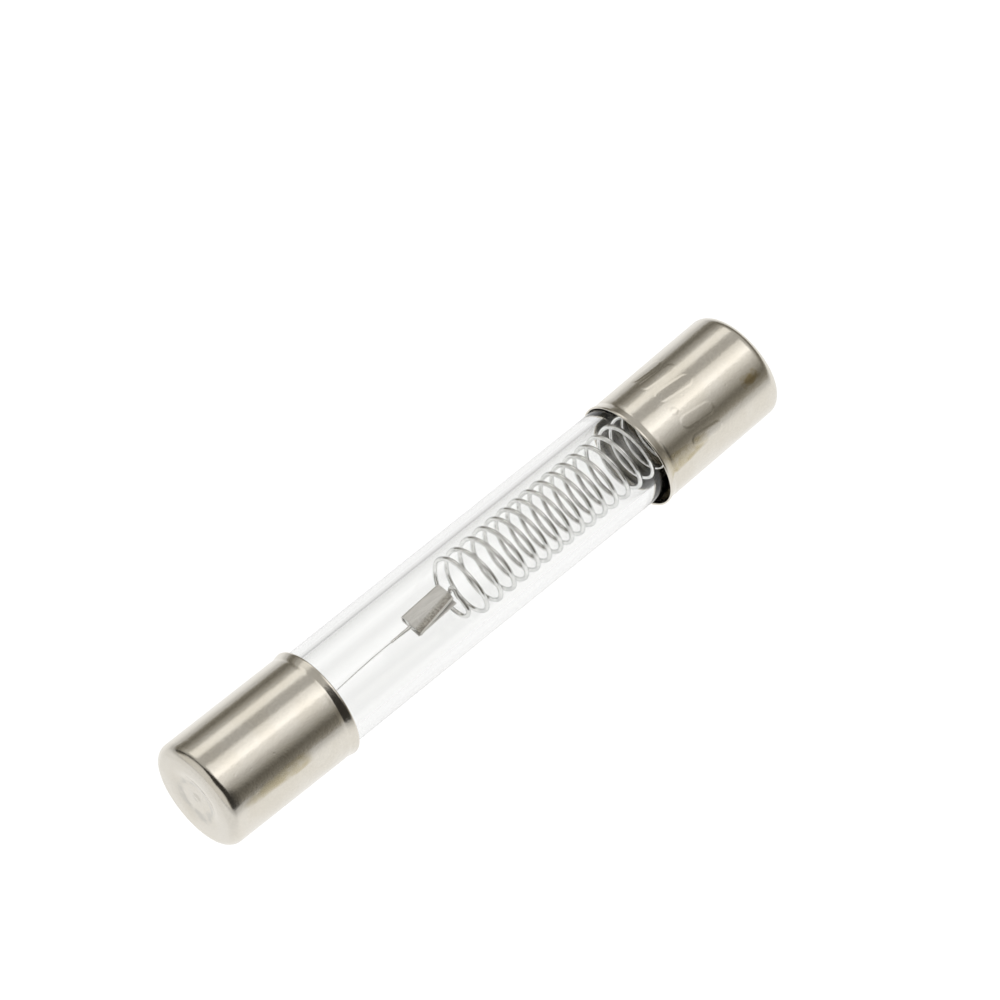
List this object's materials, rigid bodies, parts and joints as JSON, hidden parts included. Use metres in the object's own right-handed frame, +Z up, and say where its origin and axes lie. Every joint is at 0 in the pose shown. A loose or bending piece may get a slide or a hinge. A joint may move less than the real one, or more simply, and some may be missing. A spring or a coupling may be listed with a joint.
{
  "type": "cartridge fuse",
  "caption": "Glass-tube high-voltage cartridge fuse with two drawn end caps, a fine fuse wire, a crimp lug and a tension spring that pulls the lug clear when the wire melts.",
  "frame": {"origin": "middle of the fuse, on the glass tube's axis", "axes": "+X along the tube's axis from the near cap (fuse wire) to the far cap (spring); +Z up with the fuse lying on its side"},
  "size_m": [0.04, 0.0066, 0.0066],
  "materials": {
    "clear_glass": "clear drawn glass tube, fire-polished",
    "nickel_plate": "nickel plate on drawn brass, slightly warm, faint handling marks",
    "cap_cement": "hard matt cement",
    "solder": "tin solder, dull silver",
    "spring_wire": "tinned spring wire, bright",
    "tinned_strip": "tinned strip, brushed and dull",
    "fuse_wire": "fine silvered wire"
  },
  "bodies": {
    "root": {"glass_tube": "clear_glass", "near_cap": "nickel_plate", "far_cap": "nickel_plate", "near_cement": "cap_cement", "far_cement": "cap_cement", "near_solder": "solder", "far_solder": "solder", "retraction_spring": "spring_wire", "fuse_wire": "fuse_wire"},
    "lug": {"crimp_lug": "tinned_strip", "lug_solder": "solder"}
  },
  "joints": [
    {"name": "lug_retract", "type": "slide", "parent": "root", "child": "lug", "axis": [1, 0, 0], "range_m": [0, 0.009], "deforming": ["retraction_spring"]}
  ]
}
